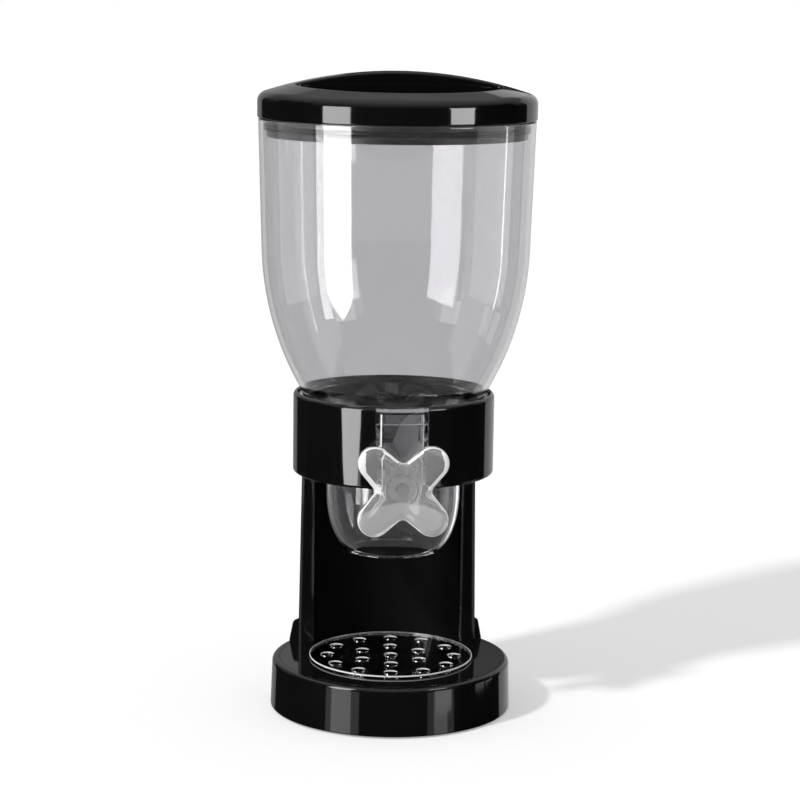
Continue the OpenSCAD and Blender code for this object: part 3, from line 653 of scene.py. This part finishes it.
def lid_surface():
    """Two half tops, the rim turned round the axis at the angles of their edges, and the hollow underside."""
    top, top_faces, facing = lid_half()
    on_rim = facing[np.hypot(*facing.T) > DOME_RIM_R - 1e-6]
    half_turn = np.arctan2(on_rim[:, 1], on_rim[:, 0])
    angles = np.sort(np.mod(np.concatenate([half_turn, half_turn + math.pi]), 2 * math.pi))
    # where the halves meet an angle comes twice, and is kept once
    angles = angles[np.diff(angles, append=angles[0] + 2 * math.pi) > 1e-6]
    turn = np.linspace(math.pi / 2 - DOME_SLOPE, 0, 9)
    edge = np.array([LID_R - LID_EDGE_R, LID_RIM_Z]) + LID_EDGE_R * direction(turn)
    inner_r, under_z = LID_R - LID_WALL, SCOOP_FLOOR - LID_WALL
    lower = rounded([(LID_R, LID_RIM_Z - 0.5), (LID_R, LID_Z), (inner_r, LID_Z), (inner_r, LID_RIM_Z),
                     (UNDERSIDE_R, LID_RIM_Z + 1.6), (UNDERSIDE_R, under_z)], [0, 0.8, 0.5, 1.5, 0, 0])
    profile = np.concatenate([edge, lower])
    radius, height = profile[:, :1], profile[:, 1:]
    grid = np.stack([radius * np.cos(angles), radius * np.sin(angles), height + 0 * angles], 2)
    rim = np.concatenate([grid.reshape(-1, 3), [[0, 0, under_z]]])
    columns = len(angles)
    rim_faces = sheet_faces(len(profile), columns)
    rim_faces += fan(len(rim) - 1, (len(profile) - 1) * columns + np.arange(columns))
    faces = top_faces + [[v + len(top) for v in face] for face in top_faces]
    faces += [[v + 2 * len(top) for v in face[::-1]] for face in rim_faces]
    return merged(np.concatenate([top, top * [-1, -1, 1], rim]), faces)


put("lid_cover", *lid_surface(), "lid_unit", "black_gloss", gloss_black, "lid")

# ---------------------------------------------------------------- knob

# places along the shaft, measured forward: the boss's end, and the plate's back and front
KNOB_BACK = 61.0
PLATE_BACK = 65.2
KNOB_FRONT = 73.2
LOBE_R = 9.5
LOBE_OUT = 16.35
WAIST_CENTRE = 20.5
WAIST_R = 4.0
BOSS_R = 9.0
BOSS_ROUND = 0.8
BOSS_FOOT = 1.2
BACK_ROUND = 1.0
DISH_R = 31.0
DISH_DEPTH = 3.4
KNOB_EDGE = 4.6
KNOB_EDGE_DEPTH = 2.2
# how many rows of the front edge get a painted highlight all round
LIT_ROWS = 5
# how many more rows get it on the upper lobes' left and right sides, as a painted reflection
LIT_ROWS_LEFT = 7
LIT_ROWS_RIGHT = 5
# these begin where the outline's direction has this sideways share
LIT_FACING = 0.6


def knob_edge():
    """The four-lobed outline in the plane (x, z) about the shaft, with its outward direction:
    round lobes on the diagonals, small hollow arcs at the waists, and straight flanks between them."""
    span = math.hypot(LOBE_OUT, WAIST_CENTRE - LOBE_OUT)
    end = math.atan2(WAIST_CENTRE - LOBE_OUT, -LOBE_OUT) - math.acos((LOBE_R + WAIST_R) / span)
    flank = np.linspace(0, 1, 8)[1:-1, None]
    places, ways = [], []
    for k in np.arange(4) * math.pi / 2:
        outward_way = direction(np.linspace(math.pi / 2 - end, end, 31) + k)
        inward_way = direction(np.linspace(end + math.pi, 2 * math.pi - end, 11) + k)
        following_way = direction(math.pi - end + k)
        lobe = LOBE_OUT * math.sqrt(2) * direction(math.pi / 4 + k) + LOBE_R * outward_way
        waist = WAIST_CENTRE * direction(math.pi / 2 + k) + WAIST_R * inward_way
        following = LOBE_OUT * math.sqrt(2) * direction(3 * math.pi / 4 + k) + LOBE_R * following_way
        places += [lobe, lobe[-1] + (waist[0] - lobe[-1]) * flank,
                   waist, waist[-1] + (following - waist[-1]) * flank]
        ways += [outward_way, np.tile(outward_way[-1], (len(flank), 1)),
                 -inward_way, np.tile(-inward_way[-1], (len(flank), 1))]
    return np.concatenate(places), np.concatenate(ways)


def knob_bands(edge, out, rows, lit_from):
    """Each face's finish by row and column: clear up to the front edge, a painted highlight over its
    outermost rows, and clouded beyond. On the sides of the upper lobes the painted highlight reaches further
    in, by the square root of how much the outline faces sideways."""
    lit_to = lit_from + LIT_ROWS
    band = np.zeros((rows - 1, len(edge)), int)
    band[lit_from:lit_to] = 1
    band[lit_to:] = 2
    sideways = np.clip((np.abs(out[:, 0]) - LIT_FACING) / (1 - LIT_FACING), 0, 1)
    further = np.where(out[:, 0] < 0, LIT_ROWS_LEFT, LIT_ROWS_RIGHT)
    reach = np.where(edge[:, 1] > 0, further * np.sqrt(sideways), 0)
    place = np.arange(len(band))[:, None] - lit_to
    band[(place >= 0) & (place < reach)] = 1
    return np.concatenate([band.ravel(), np.zeros(len(edge), int), np.full(len(edge), 2)])


def knob_surface():
    """Rows run from the middle of the boss's end along the boss, over the flat back of the plate to its
    rounded edge, along its side, over the broad elliptical front edge and down the dished face to the
    middle. The face's depth is the front less the dish's depth * (1 - (r / dish's radius)^2)^2."""
    edge, out = knob_edge()
    way = edge / np.linalg.norm(edge, axis=1)[:, None]

    def row(flat, depth):
        depth = np.broadcast_to(-np.asarray(depth, float), len(flat))
        return np.column_stack([flat[:, 0], depth, SHAFT_Z + flat[:, 1]])

    def face_depth(flat):
        r = np.minimum(np.linalg.norm(flat, axis=1) / DISH_R, 1)
        return KNOB_FRONT - DISH_DEPTH * (1 - r ** 2) ** 2

    rows = [row(way * r, KNOB_BACK) for r in (4.0, BOSS_R - 1.0)]
    rows += [row(way * (BOSS_R - BOSS_ROUND * (1 - math.sin(t))), KNOB_BACK + BOSS_ROUND * (1 - math.cos(t)))
             for t in quarter(5)]
    rows += [row(way * (BOSS_R + BOSS_FOOT * (1 - math.cos(t))), PLATE_BACK - BOSS_FOOT * (1 - math.sin(t)))
             for t in quarter(5)]
    foot, back = way * (BOSS_R + BOSS_FOOT), edge - out * BACK_ROUND
    rows += [row(foot + (back - foot) * s, PLATE_BACK) for s in (0.1, 0.5, 0.9)]
    rows += [row(edge - out * BACK_ROUND * (1 - math.sin(t)), PLATE_BACK + BACK_ROUND * (1 - math.cos(t)))
             for t in quarter(6)]
    side_from, side_to = PLATE_BACK + BACK_ROUND + 0.3, KNOB_FRONT - KNOB_EDGE_DEPTH - 1.2
    rows += [row(edge, depth) for depth in (side_from, (PLATE_BACK + side_to) / 2, side_to)]
    # the painted highlight begins at this row
    lit_from = len(rows) - 1
    front = edge - out * KNOB_EDGE
    front_depth = face_depth(front)
    for t in quarter(13):
        flat = edge - out * KNOB_EDGE * (1 - math.cos(t))
        rows.append(row(flat, front_depth - KNOB_EDGE_DEPTH * (1 - math.sin(t))))
    for s in (0.985, 0.9, 0.8, 0.68, 0.56, 0.44, 0.32, 0.2, 0.1):
        rows.append(row(front * s, face_depth(front * s)))
    columns = len(edge)
    poles = [[0, -KNOB_BACK, SHAFT_Z], [0, -(KNOB_FRONT - DISH_DEPTH), SHAFT_Z]]
    points = np.concatenate([*rows, poles])
    faces = sheet_faces(len(rows), columns)
    faces += fan(len(points) - 2, np.arange(columns), True)
    faces += fan(len(points) - 1, (len(rows) - 1) * columns + np.arange(columns))
    return points, faces, knob_bands(edge, out, len(rows), lit_from)


knob_points, knob_faces, knob_finish_and_highlight_bands = knob_surface()
put("turning_knob", knob_points, knob_faces, "paddle_wheel", "clear_bright",
    [bright_clear, painted_highlight, clouded_face_with_painted_light], "knob", bands=knob_finish_and_highlight_bands)

# ---------------------------------------------------------------- paddle petals

PETALS = 6
PETAL_ROOT_R = 7.8
SWEEP_R = 36.5
PETAL_THICK = 1.6
PETAL_TWIST = 10
FIRST_PETAL = 62
# how fast a petal grows from nothing at its ends to its full thickness
PETAL_TAPER = 3


def petal(degrees, columns=48, rows=14):
    """A soft petal of the paddle wheel: a thin half disc about the shaft, twisted along it. At each place y
    along the shaft its section runs from inside the hub out to sqrt(R^2 - y^2), goes round a soft edge and
    comes back. The section is turned by an angle that grows with y, and thins to a point at both ends."""
    reach = math.sqrt(SWEEP_R ** 2 - PETAL_ROOT_R ** 2)
    y = -reach * np.cos(np.linspace(0, math.pi, columns + 2)[1:-1])
    tip = np.sqrt(SWEEP_R ** 2 - y ** 2)
    half = PETAL_THICK / 2 * np.minimum(1, PETAL_TAPER * (1 - (y / reach) ** 2))
    half = np.minimum(half, (tip - PETAL_ROOT_R) / 2)
    out = np.linspace(0, 1, rows)[:, None]
    turn = np.linspace(math.pi / 2, -math.pi / 2, 7)[1:-1, None]
    straight = PETAL_ROOT_R + (tip - half - PETAL_ROOT_R) * out
    radius = np.concatenate([straight, tip - half + half * np.cos(turn), straight[::-1]])
    aside = np.concatenate([half + 0 * out, half * np.sin(turn), -half + 0 * out])
    angle = math.radians(degrees) + math.radians(PETAL_TWIST) * y / SWEEP_R
    grid = np.stack([radius * np.cos(angle) - aside * np.sin(angle), y + 0 * radius,
                     SHAFT_Z + radius * np.sin(angle) + aside * np.cos(angle)], 2).transpose(1, 0, 2)
    y_ends = np.array([-reach, reach])
    ends = math.radians(degrees) + math.radians(PETAL_TWIST) * y_ends / SWEEP_R
    poles = np.stack([PETAL_ROOT_R * np.cos(ends), y_ends, SHAFT_Z + PETAL_ROOT_R * np.sin(ends)], 1)
    around = grid.shape[1]
    points = np.concatenate([grid.reshape(-1, 3), poles])
    faces = sheet_faces(columns, around)
    faces += fan(len(points) - 2, np.arange(around), True)
    faces += fan(len(points) - 1, (columns - 1) * around + np.arange(around))
    return points, faces


for count in range(PETALS):
    put(f"petal_{count + 1}", *petal(FIRST_PETAL + 360 / PETALS * count), "paddle_wheel", "silicone",
        milky_silicone, f"paddle_blade_{count + 1}")

# ---------------------------------------------------------------- tray

# the tray's middle, a little forward of the axis
TRAY_Y = -1.0
TRAY_TOP = 30.3
TRAY_RIM_TOP = 31.1
TRAY_R = 48.7
HOLE_R = 4.2
# each ring of holes: how many, the ring's radius, and its turn
HOLE_RINGS = [(1, 0, 0), (6, 19.5, 26), (12, 38, -4.6)]
# half the size of a lip's section, across and up, and how round its corners are
LIP_WIDE = 0.28
LIP_TALL = 0.35
LIP_ROUND = 0.1
# how far inside the hole's edge and below the tray's top the lip runs
LIP_IN = 0.1
LIP_DOWN = 0.25
# the angle of the lip's middle on the hole's circle, and how far it reaches to each side
LIP_MIDDLE = 88
LIP_SPREAD = 78
TRAY_EDGE_WIDE = 0.4
# how far a painted highlight or a polished skin stands out from the part under it
PROUD = 0.05


def painted_hole_glints(columns=32):
    """Painted glints along the far walls of the tray's holes: a thin rounded section carried along a part of
    each hole's circle, all at once. The section shrinks to a point at both ends with the square root of sin."""
    middles = np.concatenate([radius * direction(math.radians(turn) + np.arange(count) * 2 * math.pi / count)
                              for count, radius, turn in HOLE_RINGS])
    corners = [(-LIP_WIDE, -LIP_TALL), (LIP_WIDE, -LIP_TALL), (LIP_WIDE, LIP_TALL), (-LIP_WIDE, LIP_TALL)]
    section = rounded(corners, [LIP_ROUND] * 4, 3)
    t = np.linspace(0, 1, columns + 2)
    a = np.radians(LIP_MIDDLE + LIP_SPREAD * (2 * t - 1))
    size = np.sqrt(np.sin(math.pi * t))[1:-1, None]
    circle_r, circle_z = HOLE_R - LIP_IN, TRAY_TOP - LIP_DOWN
    radius, height = circle_r + section[:, 0] * size, circle_z + section[:, 1] * size
    ring = np.stack([radius * np.cos(a[1:-1, None]), radius * np.sin(a[1:-1, None]), height], 2)
    poles = raised(circle_r * direction(a[[0, -1]]), circle_z)
    lip = np.concatenate([ring.reshape(-1, 3), poles])
    around = len(section)
    faces = sheet_faces(columns, around) + fan(len(lip) - 2, np.arange(around), True)
    faces += fan(len(lip) - 1, (columns - 1) * around + np.arange(around))
    return joined(*[(lip + [*middle, 0], faces) for middle in middles + [0, TRAY_Y]])


def tray_edge_outline():
    """The section of the painted highlight line along the top of the tray's rim: a narrow band, deeper
    outside.
    """
    inner, outer, top = TRAY_R - TRAY_EDGE_WIDE, TRAY_R + PROUD, TRAY_RIM_TOP + PROUD
    corners = [(inner, TRAY_RIM_TOP - 0.5), (outer, TRAY_RIM_TOP - 0.9), (outer, top), (inner, top)]
    return rounded(corners, [0.1, 0.1, 0.2, 0.15], 4)


# painted glints: white crescents on the far walls of the tray's holes
put("tray_painted_glints", *painted_hole_glints(), "crumb_tray", "clear_bright", painted_highlight)
# painted highlight: a white line along the top of the tray's rim
tray_rim_painted_highlight = turned("tray_rim_painted_highlight", tray_edge_outline(), "crumb_tray", "clear_bright", painted_highlight)
tray_rim_painted_highlight.data.transform(Matrix.Translation((0, TRAY_Y * MM, 0)))

# ---------------------------------------------------------------- base

BASE_FOOT_R = 71.8
BASE_TOP_R = 70.8
BASE_Z = 1.2
BASE_TOP = 29.4
BASE_EDGE = 2.5
BASE_FOOT_ROUND = 0.4
# how far the skin reaches in over the base's top, and how thick it is at its foot
SKIN_REACH = 4.4
SKIN_THICK = 1.2


def base_skin_outline():
    """The section of the base's polished outer skin: up the side, round the edge, a short way in over the
    top, and back down inside the shell's wall."""
    top, inner = BASE_TOP + PROUD, BASE_TOP_R - SKIN_REACH
    corners = [(BASE_FOOT_R + PROUD, BASE_Z), (BASE_TOP_R + PROUD, top), (inner, top), (inner, BASE_TOP - 1),
               (BASE_TOP_R - 2.0, BASE_TOP - 3.2), (BASE_FOOT_R - SKIN_THICK, BASE_Z)]
    return rounded(corners, [BASE_FOOT_ROUND, BASE_EDGE, 0, 0, 0, 0], 10)


turned("base_skin", base_skin_outline(), "stand", "black_gloss", gloss_black, steps=256)

# ---------------------------------------------------------------- finishes of the solids

# every solid gets its finish, also those that a piece above stands for; the paddle blades are silicone
NODE_FINISH = {
    "base_shell": gloss_black, "base_plate": satin_black, "base_plate_screws": plain_steel,
    "rubber_feet": soft_rubber, "column_shell": column_black, "column_panel": panel_black,
    "column_screws": plain_steel, "collar": gloss_black, "collar_screws": plain_steel,
    "hopper": smoke_clear, "outlet_cup": cup_clear, "front_bushing": bearing_grey,
    "rear_bushing": bearing_grey, "knob": bright_clear, "paddle_shaft": dull_rod,
    "paddle_hub": bearing_grey, "shaft_clip": plain_steel, "lid": gloss_black,
    "lid_plug": satin_black, "lid_seal": soft_rubber, "tray": tray_clear,
}

for node_name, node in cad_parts.items():
    node.data.materials.clear()
    node.data.materials.append(NODE_FINISH.get(node_name, milky_silicone))

# ---------------------------------------------------------------- studio

WHITE = (1, 1, 1, 1)
AMBIENT = 0.6
# how light the studio looks in gloss, by the sine of the elevation
SKY_STOPS = [(0.0, 0.008), (0.2, 0.04), (0.3, 0.2), (0.42, 0.24), (0.55, 0.3), (0.8, 0.7), (1.0, 0.9)]
# clear parts see the white backdrop beyond them, where a ray still runs away from the camera
BACKDROP_FROM = 0.0
BACKDROP_TO = 0.25
# the floor's half width in metres, its grey, its roughness and grain, and the light that lifts it to white
FLOOR_HALF = 30.0
FLOOR_GREY = 0.7
FLOOR_ROUGHNESS = (0.75, 0.85)
FLOOR_GRAIN = 40
FLOOR_DETAIL = 2.0
FLOOR_LIFT = 0.33
SUN_SIZE = 5
SUN_STRENGTH = 2.1
SUN_WAY = (0.632, 0.471, -0.616)


def sky_colour(tree, generated):
    """The studio's grey by the height of the way that a ray goes, along the stops of a ramp."""
    split = tree.nodes.new("ShaderNodeSeparateXYZ")
    tree.links.new(generated, split.inputs[0])
    ramp = tree.nodes.new("ShaderNodeValToRGB")
    stops = ramp.color_ramp.elements
    while len(stops) < len(SKY_STOPS):
        stops.new(0.5)
    for stop, (place, level) in zip(stops, SKY_STOPS):
        stop.position = place
        stop.color = (level, level, level, 1)
    tree.links.new(split.outputs["Z"], ramp.inputs["Fac"])
    return ramp.outputs["Color"]


def backdrop_share(tree, generated):
    """How far a ray runs along the front view's way: the dot product of the two, spread over a range."""
    ahead = tree.nodes.new("ShaderNodeVectorMath")
    ahead.operation = "DOT_PRODUCT"
    turn = math.radians(CAMERA_TURN)
    ahead.inputs[1].default_value = (-math.sin(turn), math.cos(turn), 0)
    tree.links.new(generated, ahead.inputs[0])
    beyond = tree.nodes.new("ShaderNodeMapRange")
    beyond.inputs["From Min"].default_value = BACKDROP_FROM
    beyond.inputs["From Max"].default_value = BACKDROP_TO
    tree.links.new(ahead.outputs["Value"], beyond.inputs["Value"])
    return beyond.outputs["Result"]


def add_world():
    """White for the camera and through clear parts. Gloss sees a dark studio with a soft light overhead,
    and matt surfaces get an even soft light."""
    world = bpy.data.worlds.new("studio")
    bpy.context.scene.world = world
    world.use_nodes = True
    tree = world.node_tree
    tree.nodes.clear()
    output = tree.nodes.new("ShaderNodeOutputWorld")
    background = tree.nodes.new("ShaderNodeBackground")
    tree.links.new(background.outputs[0], output.inputs["Surface"])
    rays = tree.nodes.new("ShaderNodeLightPath").outputs
    generated = tree.nodes.new("ShaderNodeTexCoord").outputs["Generated"]
    through = math_node(tree, "MULTIPLY", rays["Is Transmission Ray"], backdrop_share(tree, generated))
    white_share = math_node(tree, "MAXIMUM", rays["Is Camera Ray"], through)
    studio_share = math_node(tree, "MAXIMUM", rays["Is Glossy Ray"], rays["Is Transmission Ray"])
    studio = mixed(tree, "RGBA", studio_share, (AMBIENT, AMBIENT, AMBIENT, 1), sky_colour(tree, generated))
    tree.links.new(mixed(tree, "RGBA", white_share, studio, WHITE), background.inputs["Color"])


def add_floor():
    """A pale floor. For the camera it is lifted to the white of the background, and it keeps the shadow."""
    size = FLOOR_HALF
    mesh = bpy.data.meshes.new("floor")
    corners = [(-size, -size, 0), (size, -size, 0), (size, size, 0), (-size, size, 0)]
    mesh.from_pydata(corners, [], [(0, 1, 2, 3)])
    floor = bpy.data.objects.new("floor", mesh)
    bpy.context.scene.collection.objects.link(floor)
    material = bpy.data.materials.new("pale_floor")
    tree, surface = shader_nodes(material)
    grain = noise(tree, tree.nodes.new("ShaderNodeTexCoord"), FLOOR_GRAIN, FLOOR_DETAIL)
    tree.links.new(between(tree, grain, *FLOOR_ROUGHNESS), surface.inputs["Roughness"])
    surface.inputs["Base Color"].default_value = (FLOOR_GREY, FLOOR_GREY, FLOOR_GREY, 1)
    surface.inputs["Specular IOR Level"].default_value = 0.0
    surface.inputs["Emission Color"].default_value = WHITE
    rays = tree.nodes.new("ShaderNodeLightPath").outputs
    seen = math_node(tree, "MAXIMUM", rays["Is Camera Ray"], rays["Is Transmission Ray"])
    tree.links.new(math_node(tree, "MULTIPLY", seen, FLOOR_LIFT), surface.inputs["Emission Strength"])
    mesh.materials.append(material)
    floor.visible_glossy = False


def add_softbox(name, azimuth, distance, outline, radiance, inside):
    """A flat soft light that stands upright and faces the axis. Its outline is given in millimetres, across
    and up. Azimuth is from the camera's side, positive to the right. Only gloss and clear parts see it.
    Inner reflections of the clear parts see it at a radiance of their own, and straight through them it is
    as white as the backdrop."""
    a = math.radians(azimuth + CAMERA_TURN)
    across, up = np.asarray(outline, float).T
    points = np.stack([distance * math.sin(a) + across * math.cos(a),
                       -distance * math.cos(a) + across * math.sin(a), up], 1)
    mesh = bpy.data.meshes.new(name)
    mesh.from_pydata((points * MM).tolist(), [], [tuple(range(len(points)))])
    box = bpy.data.objects.new(name, mesh)
    bpy.context.scene.collection.objects.link(box)
    material = bpy.data.materials.new(name)
    material.use_nodes = True
    tree = material.node_tree
    tree.nodes.clear()
    output = tree.nodes.new("ShaderNodeOutputMaterial")
    light = tree.nodes.new("ShaderNodeEmission")
    rays = tree.nodes.new("ShaderNodeLightPath").outputs
    inner = between(tree, rays["Glossy Depth"], 1.0, inside)
    strength = mixed(tree, "FLOAT", rays["Is Transmission Ray"], radiance, inner)
    tree.links.new(strength, light.inputs["Strength"])
    tree.links.new(light.outputs[0], output.inputs["Surface"])
    mesh.materials.append(material)
    box.visible_camera = False
    box.visible_diffuse = False
    box.visible_shadow = False


def add_sun():
    """The soft key light from the left, which throws the shadow to the right."""
    data = bpy.data.lights.new("key", "SUN")
    data.angle = math.radians(SUN_SIZE)
    data.energy = SUN_STRENGTH
    key = bpy.data.objects.new("key", data)
    bpy.context.scene.collection.objects.link(key)
    key.rotation_euler = Vector(SUN_WAY).to_track_quat("-Z", "Y").to_euler()
    key.visible_glossy = False
    key.visible_transmission = False


def panel(half, low, high):
    """An upright rectangle, half its width to each side and between two heights."""
    return [(-half, low), (half, low), (half, high), (-half, high)]


LEFT_OUTLINE = [(-89, 115), (-70, 72), (-8, 14), (62, 60), (89, 110), (89, 425), (-89, 425)]
RIGHT_OUTLINE = [(-78, 312), (70, 312), (82, 425), (-90, 425)]
# each soft light: azimuth, distance, outline, and its radiance in gloss and in inner reflections.
# Two tall boxes make the strips on the canister and the collar. Low and middle panels make those on the
# base and the cup. Wings behind the part light its rims, and the lights that only inner reflections see
# brighten the clear walls.
SOFTBOXES = {
    "left_softbox": (-46, 450, LEFT_OUTLINE, 10, 34),
    "left_beside": (-61.5, 470, panel(36, 14, 425), 0, 34),
    "right_softbox": (50, 450, RIGHT_OUTLINE, 10, 10),
    "left_low": (-46, 1100, panel(190, -380, -60), 2.5, 2.5),
    "left_low_soft": (-45, 1140, panel(340, -380, -120), 0.75, 0.75),
    "left_middle": (-46, 700, panel(100, -140, -8), 2.5, 2.5),
    "left_foot": (-108, 1100, panel(70, -380, -180), 2.0, 2.0),
    "right_low": (48, 1100, panel(130, -380, -60), 1.6, 1.6),
    "right_low_soft": (48.5, 1140, panel(270, -380, -120), 0.5, 0.5),
    "right_middle": (50, 700, panel(100, -140, -8), 2.5, 2.5),
    "right_column": (98, 700, panel(150, -140, -8), 0.9, 1.0),
    "left_wing": (-158, 700, panel(220, -400, 700), 0.35, 1.0),
    "right_wing": (147, 700, panel(280, -400, 700), 0.62, 1.0),
    "left_inner": (-92, 720, panel(280, -300, 700), 0, 2.5),
    "right_inner": (88, 720, panel(280, -300, 700), 0, 3.0),
    "right_line": (99, 690, panel(12, -300, 500), 0, 16.0),
}

add_world()
add_floor()
add_sun()
for softbox_name, softbox in SOFTBOXES.items():
    add_softbox(softbox_name, *softbox)

scene = bpy.context.scene
scene.view_settings.view_transform = "Standard"
